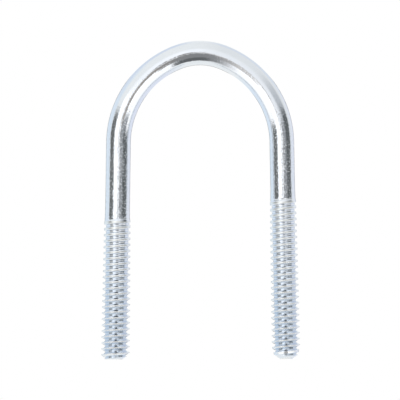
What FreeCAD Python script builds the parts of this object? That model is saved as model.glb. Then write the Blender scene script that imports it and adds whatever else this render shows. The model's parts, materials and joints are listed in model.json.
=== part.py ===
import FreeCAD, Part
import math
import os

import Sketcher

# A round-bend U-bolt: one bar, bent into a bow, with a right-hand thread rolled on
# each leg. Millimetres and degrees.
#
# Frame: +Z up through the crown of the bow, X across the two legs, Y through the bow.
# The origin lies midway between the two legs, level with the lowest rim of their ends.
#
# The bow is three tangent arcs: a tighter one over the crown and a wider one down each
# flank. The legs run straight from the flanks and lean outwards a little, as a bar does
# when it springs back after bending.
#
# The thread is rolled, so its crests stand proud of the plain shank and its roots lie
# below it. Both grow towards the leg's end, where the thread is fully formed.

SIZES = (
    ("shank_diameter", 5.2, "bar of the bow and of the plain shanks"),
    ("crown_height", 65.0, "middle of the bar at the crown, above the leg ends"),
    ("crown_radius", 13.26, "bend radius over the crown, to the middle of the bar"),
    ("crown_half_angle", 21.1, "degrees of crown bend on each side of the top"),
    ("flank_radius", 19.6, "bend radius down each flank, to the middle of the bar"),
    ("leg_splay", 1.0, "degrees that each leg leans outwards"),
    ("thread_pitch", 1.27, "twenty threads to the inch"),
    ("right_thread", 34.2, "threaded length of the right leg"),
    ("left_thread", 30.1, "threaded length of the left leg"),
    ("full_thread", 8.87, "last stretch of each leg, with fully formed crests"),
    ("crest_diameter", 6.05, "over the fully formed crests"),
    ("first_crest_diameter", 5.54, "over the first crests, beside the plain shank"),
    ("root_diameter", 4.3, "across the roots at the leg's end"),
    ("first_root_diameter", 4.78, "across the first roots, beside the plain shank"),
    ("root_flat", 0.1, "width of the flat at the bottom of the groove"),
    ("flank_angle", 30.0, "degrees between each flank and the groove's middle"),
    ("overcut", 0.05, "how far each cutting profile reaches past the metal"),
    ("groove_start", 15.0, "degrees round the leg, from +X, where each groove starts"),
    ("right_drop", 1.382, "height of that start below the right leg's end"),
    ("left_drop", 1.611, "height of that start below the left leg's end"),
    ("shoulder", 0.3, "slope from the first crest up to the plain shank"),
    ("rim_diameter", 2.6, "flat face at the leg's end"),
    ("chamfer_height", 0.7, "height of the end chamfer"),
    ("chamfer_diameter", 5.15, "across the top of the end chamfer"),
    ("right_lead", 2.3, "height where the right leg's end starts to taper"),
    ("left_lead", 1.0, "height where the left leg's end starts to taper"),
)
CREST_ARCS = 12  # arcs in the circle that the fully formed crests are cut from
TURNS_PER_FACE = 1  # turns of the groove in each face of its cutter
SIDES = (("right", 1), ("left", -1))

X_AXIS = FreeCAD.Vector(1, 0, 0)
Y_AXIS = FreeCAD.Vector(0, 1, 0)
Z_AXIS = FreeCAD.Vector(0, 0, 1)
ORIGIN = FreeCAD.Vector(0, 0, 0)

# How a sketch's constraints name a line's or an arc's points, the sketch's own origin,
# and its two axes.
START, END, CENTRE = 1, 2, 3
SKETCH_ORIGIN = (-1, 1)
ACROSS, UPRIGHT = -1, -2

# The stretches of the bar's middle line, in the order that they are drawn.
LEFT_LEG, LEFT_FLANK, CROWN, RIGHT_FLANK, RIGHT_LEG = range(5)

# The middle of a leg's end, as expressions: its height, and its distance from the YZ plane.
TIP_HEIGHT = "sizes.rim_diameter / 2 * sin(sizes.leg_splay)"
TIP_OFFSET = "bar_path.Constraints.tip_offset / 1 mm"


def make_sheet(doc):
    """Fill the spreadsheet of driving dimensions: name, value and meaning."""
    sheet = doc.addObject("Spreadsheet::Sheet", "sizes")
    for row, (alias, value, meaning) in enumerate(SIZES, start=1):
        sheet.set(f"A{row}", alias)
        sheet.set(f"B{row}", str(value))
        sheet.set(f"C{row}", meaning)
        sheet.setAlias(f"B{row}", alias)
    doc.recompute()
    return sheet


def sketch_on(body, role, name):
    """A new sketch on one of the body's own origin planes."""
    plane = next(o for o in body.Origin.OriginFeatures if o.Role == role)
    sketch = body.newObject("Sketcher::SketchObject", name)
    sketch.AttachmentSupport = [(plane, "")]
    sketch.MapMode = "FlatFace"
    return sketch


def bind(sketch, name, expression, *constraint):
    """Add a named dimension to a sketch and drive it with an expression."""
    index = sketch.addConstraint(Sketcher.Constraint(*constraint))
    sketch.renameConstraint(index, name)
    sketch.setExpression(f"Constraints.{name}", expression)


def add_outline(sketch, corners):
    """Draw a closed outline of straight lines and dimension its corners.

    Each corner is (name, x, y, expression for x, expression for y). A corner with no
    expression for x lies on the upright axis.
    """
    points = [FreeCAD.Vector(x, y, 0) for _, x, y, _, _ in corners]
    for i, point in enumerate(points):
        after = points[(i + 1) % len(points)]
        sketch.addGeometry(Part.LineSegment(point, after), False)
    for i in range(len(points)):
        after = (i + 1) % len(points)
        sketch.addConstraint(Sketcher.Constraint("Coincident", i, END, after, START))
    for i, (name, x, y, across, up) in enumerate(corners):
        if across:
            bind(sketch, f"{name}_x", across, "DistanceX", *SKETCH_ORIGIN, i, START, x)
        else:
            on_axis = Sketcher.Constraint("PointOnObject", i, START, UPRIGHT)
            sketch.addConstraint(on_axis)
        bind(sketch, f"{name}_y", up, "DistanceY", *SKETCH_ORIGIN, i, START, y)


def bar_stretches(sheet):
    """The lines and arcs of the bar's middle line, in the order of LEFT_LEG to RIGHT_LEG."""
    crown_r, flank_r = sheet.crown_radius, sheet.flank_radius
    crown_turn = math.radians(sheet.crown_half_angle)
    splay = math.radians(sheet.leg_splay)
    quarter = math.pi / 2

    crown_at = FreeCAD.Vector(0, sheet.crown_height - crown_r, 0)
    towards_joint = FreeCAD.Vector(math.sin(crown_turn), math.cos(crown_turn), 0)
    right_at = crown_at - towards_joint * (flank_r - crown_r)
    right_spring = right_at + FreeCAD.Vector(math.cos(splay), math.sin(splay), 0) * flank_r
    right_tip = FreeCAD.Vector(right_spring.x + right_spring.y * math.tan(splay), 0, 0)
    left_at, left_spring, left_tip = (
        FreeCAD.Vector(-p.x, p.y, 0) for p in (right_at, right_spring, right_tip)
    )
    crown_circle = Part.Circle(crown_at, Z_AXIS, crown_r)
    right_circle = Part.Circle(right_at, Z_AXIS, flank_r)
    left_circle = Part.Circle(left_at, Z_AXIS, flank_r)
    return (
        Part.LineSegment(left_tip, left_spring),
        Part.ArcOfCircle(left_circle, quarter + crown_turn, math.pi - splay),
        Part.ArcOfCircle(crown_circle, quarter - crown_turn, quarter + crown_turn),
        Part.ArcOfCircle(right_circle, splay, quarter - crown_turn),
        Part.LineSegment(right_spring, right_tip),
    )


def draw_bar_path(body, sheet):
    """Draw the middle line of the bar, tangent all along and the same on both sides."""
    path = sketch_on(body, "XZ_Plane", "bar_path")
    for stretch in bar_stretches(sheet):
        path.addGeometry(stretch, False)
    for shape in (
        ("Tangent", LEFT_LEG, END, LEFT_FLANK, END),
        ("Tangent", LEFT_FLANK, START, CROWN, END),
        ("Tangent", CROWN, START, RIGHT_FLANK, END),
        ("Tangent", RIGHT_FLANK, START, RIGHT_LEG, START),
        ("PointOnObject", CROWN, CENTRE, UPRIGHT),
        ("Symmetric", CROWN, START, CROWN, END, UPRIGHT),
        ("Equal", LEFT_FLANK, RIGHT_FLANK),
        ("Symmetric", LEFT_LEG, START, RIGHT_LEG, END, UPRIGHT),
    ):
        path.addConstraint(Sketcher.Constraint(*shape))
    dimension_bar_path(path, sheet)
    return path


def dimension_bar_path(path, sheet):
    """Drive the bar's middle line with its radii, its angles and its height."""
    crown_r, flank_r = sheet.crown_radius, sheet.flank_radius
    crown_turn = math.radians(2 * sheet.crown_half_angle)
    leg_turn = math.radians(sheet.leg_splay - 90)
    level = sheet.crown_height - crown_r
    level_name = "sizes.crown_height - sizes.crown_radius"
    bind(path, "crown_radius", "sizes.crown_radius", "Radius", CROWN, crown_r)
    bind(path, "flank_radius", "sizes.flank_radius", "Radius", RIGHT_FLANK, flank_r)
    bind(path, "crown_turn", "2 * sizes.crown_half_angle", "Angle", CROWN, crown_turn)
    bind(path, "leg_turn", "sizes.leg_splay - 90", "Angle", RIGHT_LEG, leg_turn)
    bind(path, "crown_level", level_name, "DistanceY", *SKETCH_ORIGIN, CROWN, CENTRE, level)
    bind(path, "tip_height", TIP_HEIGHT, "DistanceY", *SKETCH_ORIGIN, RIGHT_LEG, END, 0.0)

    tip = path.Geometry[RIGHT_LEG].EndPoint
    offset = Sketcher.Constraint("DistanceX", *SKETCH_ORIGIN, RIGHT_LEG, END, tip.x)
    index = path.addConstraint(offset)
    path.setDriving(index, False)
    path.renameConstraint(index, "tip_offset")


def sweep_bar(body, path, sheet):
    """Sweep the round bar along its middle line, from one leg's end to the other's."""
    height, diameter = sheet.crown_height, sheet.shank_diameter
    section = sketch_on(body, "YZ_Plane", "bar_section")
    circle = Part.Circle(FreeCAD.Vector(0, height, 0), Z_AXIS, diameter / 2)
    section.addGeometry(circle, False)
    section.addConstraint(Sketcher.Constraint("PointOnObject", 0, CENTRE, UPRIGHT))
    centre = (*SKETCH_ORIGIN, 0, CENTRE, height)
    bind(section, "crown_height", "sizes.crown_height", "DistanceY", *centre)
    bind(section, "diameter", "sizes.shank_diameter", "Diameter", 0, diameter)
    bar = body.newObject("PartDesign::AdditivePipe", "bar")
    bar.Profile = section
    bar.Spine = (path, [])


def lean_on_leg(item, prefix, axis, up, side, sheet):
    """Stand an item's own axes on a leg's end, leaning as the leg does.

    axis is what the item leans about, and up is the coordinate that runs up the leg.
    """
    lean = FreeCAD.Rotation(axis * side, sheet.leg_splay)
    setattr(item, prefix, FreeCAD.Placement(ORIGIN, lean))
    item.setExpression(f"{prefix}.Base.x", f"{side} * {TIP_OFFSET}")
    item.setExpression(f"{prefix}.Base.{up}", TIP_HEIGHT)
    item.setExpression(f"{prefix}.Rotation.Angle", "sizes.leg_splay")


def turn_profile(body, kind, name, side, corners, sheet):
    """Draw a profile beside a leg's middle line and turn it right round the leg."""
    sketch = sketch_on(body, "XZ_Plane", f"{name}_profile")
    add_outline(sketch, corners)
    lean_on_leg(sketch, "AttachmentOffset", Z_AXIS, "y", side, sheet)
    feature = body.newObject(f"PartDesign::{kind}", name)
    feature.Profile = sketch
    feature.ReferenceAxis = (sketch, ["V_Axis"])
    feature.Angle = 360
    feature.Refine = False
    return feature


def add_full_crest(body, name, side, sheet):
    """Thicken the last stretch of a leg, that the fully formed crests are cut from.

    The circle is drawn as equal arcs, so that every crest is a row of short faces.
    """
    step = 2 * math.pi / CREST_ARCS
    circle = Part.Circle(ORIGIN, Z_AXIS, sheet.crest_diameter / 2)
    sketch = sketch_on(body, "XY_Plane", f"{name}_full_crest_circle")
    for i in range(CREST_ARCS):
        sketch.addGeometry(Part.ArcOfCircle(circle, i * step, (i + 1) * step), False)
    for i in range(CREST_ARCS):
        after = (i + 1) % CREST_ARCS
        sketch.addConstraint(Sketcher.Constraint("Coincident", i, END, after, START))
    sketch.addConstraint(Sketcher.Constraint("Coincident", 0, CENTRE, *SKETCH_ORIGIN))
    sketch.addConstraint(Sketcher.Constraint("PointOnObject", 0, START, ACROSS))
    for i in range(1, CREST_ARCS - 1):
        sketch.addConstraint(Sketcher.Constraint("Coincident", i, CENTRE, 0, CENTRE))
    for i in range(CREST_ARCS - 1):
        sketch.addConstraint(Sketcher.Constraint("Angle", i, step))
    radius = sheet.crest_diameter / 2
    bind(sketch, "radius", "sizes.crest_diameter / 2", "Radius", 0, radius)
    lean_on_leg(sketch, "AttachmentOffset", Y_AXIS * -1, "z", side, sheet)
    pad = body.newObject("PartDesign::Pad", f"{name}_full_crest")
    pad.Profile = sketch
    pad.setExpression("Length", "sizes.full_thread")
    pad.Refine = False


def add_growing_crest(body, name, side, sheet):
    """Thicken a leg above that stretch, to the cone of the growing crests."""
    thread = f"sizes.{name}_thread"
    length = sheet.get(f"{name}_thread")
    top, top_name = length + sheet.shoulder, f"{thread} + sizes.shoulder"
    full, full_name = sheet.full_thread, "sizes.full_thread"
    widest = (sheet.crest_diameter / 2, "sizes.crest_diameter / 2")
    first = (sheet.first_crest_diameter / 2, "sizes.first_crest_diameter / 2")
    shank = (sheet.shank_diameter / 2, "sizes.shank_diameter / 2")
    corners = (
        ("axis_low", 0, full, None, full_name),
        ("widest", widest[0], full, widest[1], full_name),
        ("first", first[0], length, first[1], thread),
        ("shank", shank[0], top, shank[1], top_name),
        ("axis_high", 0, top, None, top_name),
    )
    turn_profile(body, "Revolution", f"{name}_growing_crest", side, corners, sheet)


def chamfer_end(body, name, side, sheet):
    """Take a leg's end down to its rim: a slow taper, then a steep chamfer."""
    lead, lead_name = sheet.get(f"{name}_lead"), f"sizes.{name}_lead"
    crest, crest_name = sheet.crest_diameter / 2, "sizes.crest_diameter / 2"
    rim, rim_name = sheet.rim_diameter / 2, "sizes.rim_diameter / 2"
    outside, outside_name = crest + sheet.overcut, f"{crest_name} + sizes.overcut"
    below = -sheet.overcut
    bevel = (sheet.chamfer_diameter / 2, sheet.chamfer_height)
    corners = (
        ("rim", rim, 0, rim_name, "0"),
        ("bevel", *bevel, "sizes.chamfer_diameter / 2", "sizes.chamfer_height"),
        ("lead", crest, lead, crest_name, lead_name),
        ("outside_high", outside, lead, outside_name, lead_name),
        ("outside_low", outside, below, outside_name, "-sizes.overcut"),
        ("below_rim", rim, below, rim_name, "-sizes.overcut"),
    )
    turn_profile(body, "Groove", f"{name}_chamfer", side, corners, sheet)


def draw_groove_profile(doc, sheet):
    """The section of the thread's groove, standing in the XZ plane beside the Z axis."""
    outer, inner = sheet.crest_diameter / 2 + sheet.overcut, sheet.root_diameter / 2
    outer_name, inner_name = "sizes.crest_diameter / 2 + sizes.overcut", "sizes.root_diameter / 2"
    narrow, narrow_name = sheet.root_flat / 2, "sizes.root_flat / 2"
    slope = math.tan(math.radians(sheet.flank_angle))
    wide = narrow + (outer - inner) * slope
    wide_name = f"{narrow_name} + ({outer_name} - {inner_name}) * tan(sizes.flank_angle)"
    upright = FreeCAD.Rotation(X_AXIS, 90)
    turned = FreeCAD.Rotation(Z_AXIS, sheet.groove_start)
    sketch = doc.addObject("Sketcher::SketchObject", "groove_profile")
    sketch.Placement = FreeCAD.Placement(ORIGIN, turned * upright)
    corners = (
        ("root_low", inner, -narrow, inner_name, f"-({narrow_name})"),
        ("outer_low", outer, -wide, outer_name, f"-({wide_name})"),
        ("outer_high", outer, wide, outer_name, wide_name),
        ("root_high", inner, narrow, inner_name, narrow_name),
    )
    add_outline(sketch, corners)
    return sketch


def cut_thread(doc, base, profile, name, side, sheet):
    """Cut one leg's groove: a right-hand helix that grows deeper towards the leg's end."""
    run = doc.addObject("Part::Helix", f"{name}_groove_run")
    run.setExpression("Pitch", "sizes.thread_pitch")
    run.setExpression("Height", f"sizes.{name}_thread + sizes.{name}_drop")
    run.setExpression("Radius", "sizes.root_diameter / 2")
    rise = "(sizes.first_root_diameter - sizes.root_diameter) / 2"
    run.setExpression("Angle", f"atan({rise} / sizes.{name}_thread)")
    run.SegmentLength = TURNS_PER_FACE
    run.Placement = FreeCAD.Placement(ORIGIN, FreeCAD.Rotation(Z_AXIS, sheet.groove_start))

    groove = doc.addObject("Part::Sweep", f"{name}_groove")
    groove.Sections = [profile]
    groove.Spine = (run, [])
    groove.Solid = True
    groove.Frenet = True
    lean_on_leg(groove, "Placement", Y_AXIS * -1, "z", side, sheet)
    drop = f"sizes.{name}_drop"
    beyond = f"{side} * ({TIP_OFFSET} + {drop} * sin(sizes.leg_splay))"
    groove.setExpression("Placement.Base.x", beyond)
    groove.setExpression("Placement.Base.z", f"{TIP_HEIGHT} - {drop} * cos(sizes.leg_splay)")

    threaded = doc.addObject("Part::Cut", f"{name}_thread")
    threaded.Base = base
    threaded.Tool = groove
    threaded.Refine = False
    return threaded


def build_u_bolt(doc, sheet):
    """The whole bolt: bar, thread blanks and end chamfers, then both threads."""
    body = doc.addObject("PartDesign::Body", "blank")
    path = draw_bar_path(body, sheet)
    doc.recompute()
    sweep_bar(body, path, sheet)
    for name, side in SIDES:
        add_full_crest(body, name, side, sheet)
        add_growing_crest(body, name, side, sheet)
        chamfer_end(body, name, side, sheet)
        doc.recompute()
    profile = draw_groove_profile(doc, sheet)
    bolt = body
    for name, side in SIDES:
        bolt = cut_thread(doc, bolt, profile, name, side, sheet)
    bolt.Label = "u_bolt"
    doc.recompute()
    return bolt


def check(doc, parts):
    """Stop if any object failed, or if a sub-part is not one valid solid."""
    for item in doc.Objects:
        if "Invalid" in item.State or "Error" in item.State:
            raise RuntimeError(f"{item.Label} failed: {item.State}")
    for part in parts:
        if part.Shape.isNull() or not part.Shape.isValid():
            raise RuntimeError(f"{part.Label} has no valid shape")
        if len(part.Shape.Solids) != 1:
            raise RuntimeError(f"{part.Label} is not one solid")


def main():
    doc = FreeCAD.newDocument("u_bolt")
    sheet = make_sheet(doc)
    parts = [build_u_bolt(doc, sheet)]
    check(doc, parts)
    os.makedirs("parts", exist_ok=True)
    for part in parts:
        part.Shape.exportStep(f"parts/{part.Label}.step")
        box = part.Shape.optimalBoundingBox(True, False)
        print(f"{part.Label}: {part.Shape.Volume:.1f} mm3, {len(part.Shape.Faces)} faces")
        print(f"  {box.XLength:.2f} x {box.YLength:.2f} x {box.ZLength:.2f} mm")


main()
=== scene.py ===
"""Looks of a bright zinc plated U-bolt: one bent bar with a thread rolled on each leg.

The bar is one mesh. Its rows climb round the bar in a single spiral from the right leg's
end, over the bow, to the left leg's end. On the legs the rows climb by one pitch a turn,
so every row follows the thread. Shapes are worked out in millimetres and written to the
mesh in metres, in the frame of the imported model.
"""

import json
import math
from collections import namedtuple

import bmesh
import bpy
import numpy as np
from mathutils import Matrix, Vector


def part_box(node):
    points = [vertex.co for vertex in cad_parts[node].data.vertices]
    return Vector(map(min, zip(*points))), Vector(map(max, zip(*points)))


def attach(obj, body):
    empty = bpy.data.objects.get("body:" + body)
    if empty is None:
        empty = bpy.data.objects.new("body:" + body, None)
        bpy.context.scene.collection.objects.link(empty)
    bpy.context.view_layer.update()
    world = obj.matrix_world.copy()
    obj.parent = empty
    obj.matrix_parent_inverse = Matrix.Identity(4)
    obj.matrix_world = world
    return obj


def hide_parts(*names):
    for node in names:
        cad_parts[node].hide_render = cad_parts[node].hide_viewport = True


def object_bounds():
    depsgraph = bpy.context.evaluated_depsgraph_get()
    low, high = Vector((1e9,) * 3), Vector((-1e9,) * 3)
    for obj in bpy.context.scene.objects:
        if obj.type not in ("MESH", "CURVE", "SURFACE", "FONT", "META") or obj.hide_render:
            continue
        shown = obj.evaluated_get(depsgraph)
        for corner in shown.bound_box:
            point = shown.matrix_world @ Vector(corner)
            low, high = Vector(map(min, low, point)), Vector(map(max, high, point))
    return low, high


MM = 0.001  # metres in a millimetre

# The bar's middle line, as in the part's own drawing, in millimetres and degrees.
SHANK_RADIUS = 2.6
CROWN_RADIUS = 13.26
CROWN_HALF_ANGLE = 21.1
FLANK_RADIUS = 19.6
LEAN_MOUNT = "right_stud"  # the mount in the record whose axis gives the legs' lean

# The rolled thread, in millimetres and degrees.
PITCH = 1.27
FIRST_CREST_RADIUS = 2.77  # beside the plain shank
LAST_CREST_RADIUS = 3.02  # on the last stretch of the leg
FULL_CREST_LENGTH = 8.87  # length of that stretch
FIRST_ROOT_RADIUS = 2.39
LAST_ROOT_RADIUS = 2.13
FLANK_ANGLE = 30  # half of the angle between the groove's two sides
ROOT_SHARE = 0.4  # share of the flats that lies at the root, the rest at the crest
FIRST_ROUNDING = 0.24  # size of the rounded corners beside the shank, in thread depths
LAST_ROUNDING = 0.07
CREST_FADE = 0.9  # height over which the crests sink into the plain shank
GROOVE_FADE = 1.6  # turns over which the first groove deepens
GROOVE_WANDER = 0.35  # turns that its start wanders by
SWELL = 0.04  # how much the shank thickens just above the thread
SWELL_LENGTH = 2.0  # height over which it thickens

# Each leg: threaded length, height of a crest on the leg's +X side, and the shape of its
# end. The end is a flat face with a steep chamfer round it, both a little off centre, and
# a gentler taper above the chamfer. Slopes are radius gained per height.
LEGS = {
    "right": {
        "threaded": 34.2,
        "crest": 0.372 * PITCH,
        "rim": 1.25,
        "off_centre": 0.05,
        "chamfer_slope": 1.45,
        "taper_start": 2.3,
        "taper_slope": 0.26,
    },
    "left": {
        "threaded": 30.1,
        "crest": 0.185 * PITCH,
        "rim": 1.80,
        "off_centre": -0.36,
        "chamfer_slope": 1.4,
        "taper_start": 2.9,
        "taper_slope": 0.2,
    },
}

# The spiral of the mesh.
COLUMNS = 72  # vertices in a turn round the bar
ROWS = 24  # rows in a turn's climb
RUN_IN = 4  # turns that it starts below the right leg's lowest crest
RUN_ON = 2  # turns that it goes on past the rows that close the left leg's end
TURNS_SPARED = 37  # turns left out of the plain bar, where the rows may lie further apart
MERGE_DISTANCE = 1e-7  # metres between vertices that become one

# Knocks in the plain shanks: the leg, height above its end, degrees round the bar from
# the side that faces away from the other leg, half length and half width, and depth.
NICKS = (
    ("right", 46.8, 240, 0.35, 0.30, 0.07),
    ("left", 45.0, 322, 0.45, 0.35, 0.06),
    ("left", 38.7, 240, 0.60, 0.18, 0.05),
)

# Slight unevenness of the drawn and rolled surface. It only takes metal away.
SEED = 11
MOST_LOBES = 5  # most waves round the bar
WAVE_SPREAD = 2.5  # keeps nearly all of a sum of waves between 0 and 1
PLAIN_WAVES = 14
PLAIN_WAVE_LENGTHS = (3, 25)
PLAIN_WAVE_DEPTH = 0.006
CREST_WAVES = 10
CREST_WAVE_LENGTHS = (0.9, 6)
CREST_WAVE_DEPTH = 0.022

# Colours of the zinc plate, with painted shade for the grooves and a painted highlight on the
# crests.
GREY_ZINC = (0.745, 0.78, 0.83, 1)
PALE_ZINC = (0.76, 0.79, 0.835, 1)
SPECK_ZINC = (0.62, 0.65, 0.66, 1)
PAINTED_GROOVE_SHADE = (0.69, 0.74, 0.80, 1)  # painted shade in the grooves, darker and bluer towards the leg's end
# Crest colours: partly paler rubbed zinc, partly a painted highlight, whiter beside the shank
# and beige at the leg's end.
FIRST_CREST_WEAR_AND_HIGHLIGHT = (0.82, 0.84, 0.83, 1)
LAST_CREST_WEAR_AND_HIGHLIGHT = (0.79, 0.79, 0.775, 1)
SPECK_SHARE = 0.5  # how strongly the specks show
CREST_SHARE = 0.9  # how strongly the crests' rubbed colour and painted highlight show

# The plate's noises: scale per millimetre, detail and roughness.
CLOUD_NOISE = (0.35, 2.0, 0.5)
SPECKLE_NOISE = (2.8, 1.5, 0.5)
LINE_NOISE = (5.0, 2.0, 0.6)
LINE_STRETCH = (1, 1, 0.04)  # scale of the draw lines across the bar and along it

# Where each mark sets in and where it is full, as a value of its noise or of the crest
# attribute, which is 1 on a crest and 0 at the bottom of a groove and on plain bar.
CLOUD_RANGE = (0.35, 0.65)
SPECK_RANGE = (0.45, 0.30)
PIT_RANGE = (0.50, 0.70)
GLOSS_RANGE = (0.3, 0.7)
GROOVE_RANGE = (0.9, 0.5)
CREST_COLOUR_RANGE = (0.86, 1.0)
CREST_ROUGH_RANGE = (0.86, 0.99)

# Gloss and relief of the plate.
LEAST_ROUGHNESS = 0.05
PLAIN_ROUGHNESS = 0.12  # at the plate's dullest spots
CREST_ROUGHNESS = 0.36
DRAW_LINE_DEPTH = 0.000004  # metres
PIT_DEPTH = 0.000015  # metres
ROLLED_SHARE = 0.3  # share of the lines, pits and specks that is left on the threads
BOW_SHARE = 0.25  # share of the pits and specks that is left on the bow
SCUFFS_START = 10  # millimetres of bow before the straight leg where they begin to grow
SCUFFS_END = 4  # millimetres down the straight leg where they are full
TONES_START = 34  # millimetres above the leg's end where the thread's tones begin to change
TONES_END = 6  # millimetres above the leg's end where they have changed

# Numbers of the Mix node's sockets when it mixes colours.
MIX_SHARE, MIX_FIRST, MIX_SECOND, MIX_RESULT = 0, 6, 7, 2

# The studio is a white tent round the object. Its panels and the gaps between them are
# sectors round the line from the object to the camera: the angle of the sector's middle
# clockwise from straight up, its half width, where it starts and ends as angles from that
# line, how soft its edges are, and its colour. Later ones cover earlier ones.
Panel = namedtuple("Panel", "middle half_width near far softness colour")
TENT_COLOUR = (1.04, 1.05, 1.03, 1)
PANELS = (
    # Light just above the camera.
    Panel(0, 90, -10, 38, 24, (1.20, 1.21, 1.22, 1)),
    Panel(40, 35, -10, 36, 20, (1.06, 1.07, 1.08, 1)),
    # Cooler walls beside and behind the object, and shade on the upper right.
    Panel(270, 48, 88, 200, 24, (0.88, 0.97, 1.05, 1)),
    Panel(105, 48, 88, 200, 24, (0.92, 0.95, 1.04, 1)),
    Panel(45, 40, 38, 125, 40, (0.95, 0.96, 0.95, 1)),
    Panel(66, 14, 30, 88, 24, (0.62, 0.64, 0.66, 1)),
    Panel(325, 24, 112, 150, 20, (0.80, 0.87, 0.98, 1)),
    Panel(35, 24, 112, 150, 20, (0.84, 0.89, 0.96, 1)),
    # Brighter light below the camera and beside it.
    Panel(225, 45, -10, 78, 10, (1.34, 1.33, 1.32, 1)),
    Panel(135, 45, -10, 78, 10, (1.34, 1.33, 1.32, 1)),
    Panel(255, 45, 4, 44, 10, (1.60, 1.60, 1.60, 1)),
    Panel(125, 35, 4, 40, 10, (1.60, 1.60, 1.58, 1)),
    # Dark cards at the sides, for the dark bands on the shanks.
    Panel(273, 16, 41, 84, 10, (0.18, 0.185, 0.18, 1)),
    Panel(92, 17, 11, 60, 7, (0.35, 0.36, 0.37, 1)),
    Panel(84, 14, 43, 88, 10, (0.14, 0.15, 0.15, 1)),
    # Brownish strips close to the camera, for the line along the middle of the bow.
    Panel(225, 30, 1, 6, 3, (0.62, 0.58, 0.54, 1)),
    Panel(214, 15, 4, 31, 10, (0.80, 0.76, 0.72, 1)),
    Panel(130, 28, 0, 21, 8, (0.42, 0.38, 0.34, 1)),
    Panel(152, 8, 0, 35, 8, (0.34, 0.32, 0.30, 1)),
    # Dark cards below the camera and a small one above it, for the crown's dark band.
    Panel(193, 14, 1, 76, 22, (0.31, 0.31, 0.31, 1)),
    Panel(172, 17, 1, 76, 6, (0.28, 0.28, 0.28, 1)),
    Panel(172, 17, 42, 75, 8, (0.15, 0.155, 0.155, 1)),
    Panel(338, 18, -5, 10, 4, (0.22, 0.20, 0.18, 1)),
    # Dark cards behind the object, for thin dark lines where the bar is seen from behind.
    Panel(90, 38, 155, 172, 8, (0.16, 0.165, 0.17, 1)),
    Panel(270, 38, 155, 172, 8, (0.20, 0.205, 0.21, 1)),
    Panel(180, 30, 155, 175, 8, (0.25, 0.255, 0.26, 1)),
)

# The floor and the camera.
FLOOR_HALF = 2.0  # metres from the object to the floor's edge
FLOOR_COLOUR = (0.86, 0.86, 0.86, 1)
FLOOR_ROUGHNESS = 0.9
HEIGHT_SHARE = 0.7966  # share of the image's height that the bolt fills
CAMERA_DISTANCE = 0.5  # metres
CAMERA_ROLL = 0.15  # degrees
SIDE_SHIFT = -0.066  # millimetres from the bolt's middle to the image's


def unit(degrees):
    """Direction at this angle from +Z towards +X, as (x, z)."""
    return np.array([math.sin(math.radians(degrees)), math.cos(math.radians(degrees))])


def smooth_step(value, low, high):
    """0 below low, 1 above high, and a smooth rise between them."""
    share = np.clip((value - low) / (high - low), 0, 1)
    return share * share * (3 - 2 * share)


def soft_clip(value, rounding):
    """value held between 0 and 1, with the two corners rounded."""
    return (np.hypot(value, rounding) - np.hypot(value - 1, rounding) + 1) / 2


class Bar:
    """The bar's middle line: two leaning legs joined by three tangent arcs. leg and flank
    are the lengths of one straight leg and of one side arc."""

    def __init__(self, record, top):
        mount = next(m for m in record["mounts"] if m["name"] == LEAN_MOUNT)
        axis = np.array(mount["axis"])
        self.lean = math.degrees(math.atan2(axis[0], -axis[2]))
        self.leg_angle = 90 - self.lean
        crown_top = top - SHANK_RADIUS
        self.crown_centre = np.array([0, crown_top - CROWN_RADIUS])
        meeting = self.crown_centre + CROWN_RADIUS * unit(CROWN_HALF_ANGLE)
        self.flank_centre = meeting - FLANK_RADIUS * unit(CROWN_HALF_ANGLE)
        springing = self.flank_centre + FLANK_RADIUS * unit(self.leg_angle)
        reach = max(leg["rim"] + abs(leg["off_centre"]) for leg in LEGS.values())
        end_height = reach * math.sin(math.radians(self.lean))
        self.leg = (springing[1] - end_height) / math.cos(math.radians(self.lean))
        self.flank = math.radians(self.leg_angle - CROWN_HALF_ANGLE) * FLANK_RADIUS
        crown = math.radians(2 * CROWN_HALF_ANGLE) * CROWN_RADIUS
        self.length = 2 * (self.leg + self.flank) + crown

    def at(self, along):
        """Middle of the bar and its outward direction, both (x, z), at these lengths."""
        side = np.where(along < self.length / 2, 1, -1)
        rise = np.minimum(along, self.length - along)
        on_flank = np.degrees((rise - self.leg) / FLANK_RADIUS)
        on_crown = np.degrees((rise - self.leg - self.flank) / CROWN_RADIUS)
        straight = rise < self.leg
        bent = rise < self.leg + self.flank
        angle = np.where(bent, self.leg_angle - on_flank, CROWN_HALF_ANGLE - on_crown)
        angle = np.radians(np.where(straight, self.leg_angle, angle))
        out = np.stack([np.sin(angle), np.cos(angle)])
        radius = np.where(bent, FLANK_RADIUS, CROWN_RADIUS)
        x_centre = np.where(bent, self.flank_centre[0], self.crown_centre[0])
        z_centre = np.where(bent, self.flank_centre[1], self.crown_centre[1])
        below = np.maximum(self.leg - rise, 0)
        x = x_centre + radius * out[0] + below * math.sin(math.radians(self.lean))
        z = z_centre + radius * out[1] - below * math.cos(math.radians(self.lean))
        return (side * x, z), (side * out[0], out[1])


def waves(random, count, turn, along, lengths):
    """A sum of sine waves round and along the bar, between 0 and 1."""
    total = np.zeros_like(along)
    for _ in range(count):
        lobes = random.integers(0, MOST_LOBES + 1)
        length = random.uniform(*lengths)
        phase = random.uniform(0, 2 * math.pi)
        total += np.sin(lobes * turn + 2 * math.pi * along / length + phase)
    return np.clip(0.5 + total / (WAVE_SPREAD * math.sqrt(count)), 0, 1)


def growth(leg, height):
    """How far down the thread a point lies: 0 beside the shank and 1 at the leg's end."""
    return 1 - np.clip(height / leg["threaded"], 0, 1)


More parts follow.
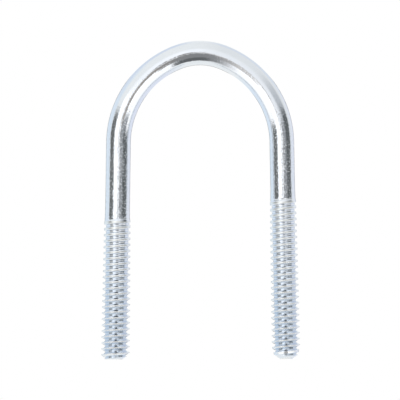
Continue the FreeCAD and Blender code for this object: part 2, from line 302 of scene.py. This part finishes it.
def groove_share(leg, height, turn, unevenness, depth):
    """How deep each point lies in the thread's groove, from 0 on a crest to 1 at the
    root. depth is the whole groove's, in millimetres."""
    rounding = FIRST_ROUNDING + growth(leg, height) * (LAST_ROUNDING - FIRST_ROUNDING)
    climb = (height - leg["crest"]) / PITCH - turn / (2 * math.pi)
    from_crest = np.abs(climb - np.round(climb))
    flank = depth * math.tan(math.radians(FLANK_ANGLE)) / PITCH
    crest_edge = (0.5 - flank) * (1 - ROOT_SHARE)
    sunk = soft_clip((from_crest - crest_edge) / flank, rounding)
    groove_height = np.floor(climb) + 0.5 + turn / (2 * math.pi)
    turns_down = leg["threaded"] / PITCH - groove_height - GROOVE_WANDER * unevenness
    return np.maximum(sunk - 1 + smooth_step(turns_down, 0, GROOVE_FADE), 0)


def thread(leg, height, turn, unevenness):
    """Radius of the threaded end at this height above the leg's end, this angle round
    the leg from +X, and how near each point is to a crest, from 0 to 1."""
    cone = (FULL_CREST_LENGTH, leg["threaded"])
    crest = np.interp(height, cone, (LAST_CREST_RADIUS, FIRST_CREST_RADIUS))
    root = FIRST_ROOT_RADIUS + growth(leg, height) * (LAST_ROOT_RADIUS - FIRST_ROOT_RADIUS)
    sunk = groove_share(leg, height, turn, unevenness, crest - root)
    proud = smooth_step(leg["threaded"] - height, 0, CREST_FADE)
    swell = SWELL * smooth_step(leg["threaded"] + SWELL_LENGTH - height, 0, SWELL_LENGTH)
    plain = SHANK_RADIUS + swell * (1 - proud)
    top = plain + (crest - plain) * proud - CREST_WAVE_DEPTH * unevenness * proud
    return top - (top - root) * sunk, (1 - sunk) * proud


def end_limit(leg, height, turn):
    """Largest radius that the chamfer and the taper of the leg's end leave."""
    rim = leg["rim"] + leg["off_centre"] * np.cos(turn)
    chamfer = rim + leg["chamfer_slope"] * height
    taper = leg["taper_start"] + leg["taper_slope"] * height
    return np.minimum(chamfer, taper)


def spiral(bar):
    """Length along the bar and angle round it of every vertex, as columns by rows. On
    both legs the first row runs along a crest."""
    right, left = LEGS["right"], LEGS["left"]
    right_zero = right["crest"] % PITCH - RUN_IN * PITCH
    left_zero = (bar.length - left["crest"] - PITCH / 2) % PITCH + TURNS_SPARED * PITCH
    right_top = right["threaded"] + PITCH
    left_top = bar.length - left["threaded"] - PITCH
    end = bar.length + left["rim"] + RUN_ON * PITCH
    columns = math.ceil((end - left_zero) / PITCH * COLUMNS)
    column = np.arange(columns)[:, None] / COLUMNS
    turns = column + np.arange(ROWS)[None, :] / ROWS
    last_turn = turns.max()
    knots = (0, (right_top - right_zero) / PITCH, (left_top - left_zero) / PITCH, last_turn)
    lengths = (right_zero, right_top, left_top, left_zero + last_turn * PITCH)
    along = np.interp(turns, knots, lengths)
    turn = np.broadcast_to(2 * math.pi * column, along.shape)
    return along, turn


def nicks(bar, along, turn):
    """Depth of the knocks at each vertex."""
    depth = np.zeros_like(along)
    for name, height, degrees, half_length, half_width, deepest in NICKS:
        at = height if name == "right" else bar.length - height
        turned = (turn - math.radians(degrees) + math.pi) % (2 * math.pi) - math.pi
        away = np.hypot((along - at) / half_length, SHANK_RADIUS * turned / half_width)
        depth += deepest * (1 - smooth_step(away, 0, 1))
    return depth


def cut_leg(leg, height, turn, unevenness, radius):
    """Radius of the bar once this leg's thread is rolled and its end is cut, and how near
    each point is to one of its crests."""
    swell_top = leg["threaded"] + SWELL_LENGTH
    near = height < swell_top
    above = np.maximum(height, 0)
    threaded, crest = thread(leg, above, turn, unevenness)
    share = smooth_step(swell_top - height, 0, SWELL_LENGTH / 2)
    joined = threaded * share + radius * (1 - share)
    radius = np.where(near, np.minimum(joined, end_limit(leg, above, turn)), radius)
    face = np.maximum(end_limit(leg, 0, turn) + height, 0)
    radius = np.where(height < 0, np.minimum(radius, face), radius)
    return radius, np.where(near, crest, 0)


def bar_radius(bar, along, turn):
    """Radius of the bar at each vertex, how near it is to a crest, and where it is
    rolled: 1 on the threads and 0 on plain bar."""
    random = np.random.default_rng(SEED)
    plain_waves = waves(random, PLAIN_WAVES, turn, along, PLAIN_WAVE_LENGTHS)
    crest_waves = waves(random, CREST_WAVES, turn, along, CREST_WAVE_LENGTHS)
    radius = SHANK_RADIUS - PLAIN_WAVE_DEPTH * plain_waves - nicks(bar, along, turn)
    crest = np.zeros_like(radius)
    rolled = np.zeros_like(radius)
    sides = (
        (LEGS["right"], along, turn),
        (LEGS["left"], bar.length - along, math.pi - turn),
    )
    for leg, height, angle in sides:
        radius, near_crest = cut_leg(leg, height, angle, crest_waves, radius)
        crest += near_crest
        rolled += smooth_step(leg["threaded"] - height, 0, CREST_FADE)
    return radius, crest, rolled


def spiral_faces(columns):
    """Corners of every face. Above the last row of a column comes the first row of the
    column one turn further on."""
    index = np.arange(columns * ROWS).reshape(columns, ROWS)
    turn_on = np.roll(index, -COLUMNS, 0)[:, :1]
    next_row = np.concatenate([index[:, 1:], turn_on], 1)
    last = columns - COLUMNS
    corners = (index[: last - 1], index[1:last], next_row[1:last], next_row[: last - 1])
    return np.stack(corners, -1).reshape(-1, 4)


def close_ends(mesh):
    """Merge the vertices that meet in the middle of each end, and drop what is left."""
    work = bmesh.new()
    work.from_mesh(mesh)
    bmesh.ops.remove_doubles(work, verts=work.verts, dist=MERGE_DISTANCE)
    loose = [v for v in work.verts if not v.link_faces]
    bmesh.ops.delete(work, geom=loose, context="VERTS")
    bmesh.ops.recalc_face_normals(work, faces=work.faces)
    for face in work.faces:
        face.smooth = True
    work.to_mesh(mesh)
    work.free()


def store(mesh, name, kind, field, values):
    """Keep values at the mesh's vertices, where the material reads them."""
    kept = mesh.attributes.new(name, kind, "POINT")
    kept.data.foreach_set(field, values.astype(np.float32).ravel())


def build_bar(bar):
    """One closed mesh of the whole bar."""
    along, turn = spiral(bar)
    radius, crest, rolled = bar_radius(bar, along, turn)
    on_bar = np.clip(along, 0, bar.length)
    (x, z), (x_out, z_out) = bar.at(on_bar)
    across = np.cos(turn)
    toward_back = np.sin(turn)
    reach = radius * across
    points = np.stack([x + reach * x_out, radius * toward_back, z + reach * z_out], -1)
    straight = np.stack([SHANK_RADIUS * across, SHANK_RADIUS * toward_back, on_bar], -1)
    faces = spiral_faces(len(along))
    mesh = bpy.data.meshes.new("u_bolt_bar")
    mesh.from_pydata((points * MM).reshape(-1, 3).tolist(), [], faces.tolist())
    store(mesh, "along_bar", "FLOAT_VECTOR", "vector", straight)
    store(mesh, "crest", "FLOAT", "value", crest)
    store(mesh, "rolled", "FLOAT", "value", rolled)
    close_ends(mesh)
    piece = bpy.data.objects.new("zinc_bar", mesh)
    bpy.context.scene.collection.objects.link(piece)
    return piece


def node(tree, kind, inputs=None, **settings):
    """Add a shader node. inputs maps a socket's name or number to a value or a socket."""
    made = tree.nodes.new(kind)
    for name, value in settings.items():
        setattr(made, name, value)
    for name, value in (inputs or {}).items():
        socket = made.inputs[name]
        if isinstance(value, bpy.types.NodeSocket):
            tree.links.new(value, socket)
        else:
            socket.default_value = value
    return made


def calc(tree, operation, *values):
    """Output of one Math node."""
    return node(tree, "ShaderNodeMath", dict(enumerate(values)), operation=operation).outputs[0]


def ramp(tree, value, low, high, to_low=0.0, to_high=1.0):
    """Output of a Map Range node that goes smoothly from to_low at low to to_high at
    high. low may be the larger of the two."""
    made = node(
        tree,
        "ShaderNodeMapRange",
        {"Value": value, "From Min": low, "From Max": high, "To Min": to_low, "To Max": to_high},
        interpolation_type="SMOOTHSTEP",
    )
    return made.outputs["Result"]


def blend(tree, share, first, second):
    """Colour output of a Mix node. share 0 gives first, and 1 gives second."""
    inputs = {MIX_SHARE: share, MIX_FIRST: first, MIX_SECOND: second}
    return node(tree, "ShaderNodeMix", inputs, data_type="RGBA").outputs[MIX_RESULT]


def noise(tree, vector, scale, detail, roughness):
    """Fac output of a Noise texture."""
    made = node(
        tree,
        "ShaderNodeTexNoise",
        {"Vector": vector, "Scale": scale, "Detail": detail, "Roughness": roughness},
    )
    return made.outputs[0]


def stored(tree, name, output):
    """Output of an Attribute node that reads what build_bar stored."""
    return node(tree, "ShaderNodeAttribute", attribute_name=name).outputs[output]


def zinc_colour(tree, place, crest, speckle, scuffed, down_leg):
    """Clouded plate with dull specks, painted shade darkening the grooves, and paler crests,
    partly rubbed and partly a painted highlight.
    """
    cloud = noise(tree, place, *CLOUD_NOISE)
    tint = blend(tree, ramp(tree, cloud, *CLOUD_RANGE), GREY_ZINC, PALE_ZINC)
    specks = ramp(tree, speckle, *SPECK_RANGE, 0.0, SPECK_SHARE)
    tint = blend(tree, calc(tree, "MULTIPLY", scuffed, specks), tint, SPECK_ZINC)
    # Painted shade: the grooves turn darker and bluer towards the leg's end.
    groove = blend(tree, down_leg, tint, PAINTED_GROOVE_SHADE)
    tint = blend(tree, ramp(tree, crest, *GROOVE_RANGE), tint, groove)
    # Crests partly rubbed paler and partly a painted highlight.
    wear_and_highlight = blend(tree, down_leg, FIRST_CREST_WEAR_AND_HIGHLIGHT, LAST_CREST_WEAR_AND_HIGHLIGHT)
    return blend(tree, ramp(tree, crest, *CREST_COLOUR_RANGE, 0.0, CREST_SHARE), tint, wear_and_highlight)


def zinc_roughness(tree, crest, speckle):
    """Glossy plate, a little uneven, and dull crests."""
    plate = ramp(tree, speckle, *GLOSS_RANGE, LEAST_ROUGHNESS, PLAIN_ROUGHNESS)
    crests = ramp(tree, crest, *CREST_ROUGH_RANGE, LEAST_ROUGHNESS, CREST_ROUGHNESS)
    return calc(tree, "MAXIMUM", plate, crests)


def zinc_relief(tree, place, speckle, drawn, scuffed):
    """Normal of fine lines along the bar, with small pits among them."""
    lengthwise = node(tree, "ShaderNodeMapping", {"Vector": place, "Scale": LINE_STRETCH})
    lines = noise(tree, lengthwise.outputs[0], *LINE_NOISE)
    lined = node(
        tree,
        "ShaderNodeBump",
        {"Height": lines, "Strength": drawn, "Distance": DRAW_LINE_DEPTH},
    )
    pits = ramp(tree, speckle, *PIT_RANGE)
    pitted = node(
        tree,
        "ShaderNodeBump",
        {"Height": pits, "Strength": scuffed, "Distance": PIT_DEPTH, "Normal": lined.outputs[0]},
    )
    return pitted.outputs[0]


def zinc_material(bar):
    """Bright zinc plate over drawn steel: draw lines, pits on the shanks, painted shade in the
    grooves, and dull crests, partly rubbed pale and partly a painted highlight.
    """
    material = bpy.data.materials.new("bright_zinc")
    material.use_nodes = True
    tree = material.node_tree
    tree.nodes.clear()
    half = bar.length / 2
    bow = half - bar.leg
    place = stored(tree, "along_bar", "Vector")
    crest = stored(tree, "crest", "Fac")
    drawn = ramp(tree, stored(tree, "rolled", "Fac"), 0, 1, 1.0, ROLLED_SHARE)
    along = node(tree, "ShaderNodeSeparateXYZ", {0: place}).outputs[2]
    from_middle = calc(tree, "ABSOLUTE", calc(tree, "SUBTRACT", along, half))
    scuffed = ramp(tree, from_middle, bow - SCUFFS_START, bow + SCUFFS_END, BOW_SHARE, 1.0)
    scuffed = calc(tree, "MULTIPLY", scuffed, drawn)
    down_leg = ramp(tree, from_middle, half - TONES_START, half - TONES_END)
    speckle = noise(tree, place, *SPECKLE_NOISE)
    shader = node(
        tree,
        "ShaderNodeBsdfPrincipled",
        {
            "Base Color": zinc_colour(tree, place, crest, speckle, scuffed, down_leg),
            "Metallic": 1.0,
            "Roughness": zinc_roughness(tree, crest, speckle),
            "Normal": zinc_relief(tree, place, speckle, drawn, scuffed),
        },
    )
    out = node(tree, "ShaderNodeOutputMaterial")
    tree.links.new(shader.outputs[0], out.inputs["Surface"])
    return material


def sector(tree, toward, x, z, panel):
    """How far a direction lies inside a panel, from 0 to 1. toward is its angle from the
    line to the camera."""
    across, up = unit(panel.middle)
    along_middle = calc(
        tree, "ADD", calc(tree, "MULTIPLY", x, across), calc(tree, "MULTIPLY", z, up)
    )
    beside = calc(
        tree, "SUBTRACT", calc(tree, "MULTIPLY", x, up), calc(tree, "MULTIPLY", z, across)
    )
    angle = calc(tree, "ARCTAN2", calc(tree, "ABSOLUTE", beside), along_middle)
    soft = math.radians(panel.softness) / 2
    half = math.radians(panel.half_width)
    near = math.radians(panel.near)
    far = math.radians(panel.far)
    inside = ramp(tree, angle, half + soft, half - soft)
    started = ramp(tree, toward, near - soft, near + soft)
    ended = ramp(tree, toward, far + soft, far - soft)
    return calc(tree, "MULTIPLY", inside, calc(tree, "MULTIPLY", started, ended))


def build_studio():
    """World light: the tent for reflections and shading, and plain white behind."""
    world = bpy.data.worlds.new("studio")
    bpy.context.scene.world = world
    world.use_nodes = True
    tree = world.node_tree
    tree.nodes.clear()
    direction = node(tree, "ShaderNodeTexCoord").outputs["Generated"]
    split = node(tree, "ShaderNodeSeparateXYZ", {0: direction})
    x, y, z = (split.outputs[axis] for axis in range(3))
    toward = calc(tree, "ARCCOSINE", calc(tree, "MULTIPLY", y, -1.0))
    colour = TENT_COLOUR
    for panel in PANELS:
        colour = blend(tree, sector(tree, toward, x, z, panel), colour, panel.colour)
    tent = node(tree, "ShaderNodeBackground", {"Color": colour, "Strength": 1.0})
    white = node(tree, "ShaderNodeBackground", {"Color": (1, 1, 1, 1), "Strength": 1.0})
    seen = node(tree, "ShaderNodeLightPath").outputs["Is Camera Ray"]
    mix = node(tree, "ShaderNodeMixShader", {0: seen, 1: tent.outputs[0], 2: white.outputs[0]})
    out = node(tree, "ShaderNodeOutputWorld")
    tree.links.new(mix.outputs[0], out.inputs["Surface"])


def build_floor(level):
    """A plain pale floor that lights nothing, so the tent alone shows in the metal."""
    mesh = bpy.data.meshes.new("floor")
    corners = ((-1, -1), (1, -1), (1, 1), (-1, 1))
    points = [(FLOOR_HALF * x, FLOOR_HALF * y, level) for x, y in corners]
    mesh.from_pydata(points, [], [(0, 1, 2, 3)])
    floor = bpy.data.objects.new("floor", mesh)
    bpy.context.scene.collection.objects.link(floor)
    material = bpy.data.materials.new("pale_floor")
    material.use_nodes = True
    shader = material.node_tree.nodes["Principled BSDF"]
    shader.inputs["Base Color"].default_value = FLOOR_COLOUR
    shader.inputs["Roughness"].default_value = FLOOR_ROUGHNESS
    mesh.materials.append(material)
    floor.visible_glossy = False
    floor.visible_shadow = False


def build_camera(low, high):
    """A straight-on camera without perspective, level with the bolt's middle."""
    data = bpy.data.cameras.new("camera")
    data.type = "ORTHO"
    data.ortho_scale = (high.z - low.z) / HEIGHT_SHARE
    camera = bpy.data.objects.new("camera", data)
    middle = (low + high) / 2
    camera.location = (SIDE_SHIFT * MM, -CAMERA_DISTANCE, middle.z)
    camera.rotation_euler = (math.radians(90), math.radians(CAMERA_ROLL), 0)
    bpy.context.scene.collection.objects.link(camera)
    bpy.context.scene.camera = camera


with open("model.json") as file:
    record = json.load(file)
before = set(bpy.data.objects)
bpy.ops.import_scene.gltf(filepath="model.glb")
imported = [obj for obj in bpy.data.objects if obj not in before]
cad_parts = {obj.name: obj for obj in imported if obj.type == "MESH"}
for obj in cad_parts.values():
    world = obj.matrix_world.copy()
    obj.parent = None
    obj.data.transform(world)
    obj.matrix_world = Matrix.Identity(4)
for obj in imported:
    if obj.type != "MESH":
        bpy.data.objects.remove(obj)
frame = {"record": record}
cad_low, cad_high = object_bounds()
node_low, node_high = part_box("u_bolt")

bar = Bar(frame["record"], node_high.z / MM)
piece = build_bar(bar)
piece.data.materials.append(zinc_material(bar))
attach(piece, "root")
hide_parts("u_bolt")

bpy.context.scene.view_settings.view_transform = "Standard"
build_studio()
build_floor(node_low.z)
build_camera(cad_low, cad_high)
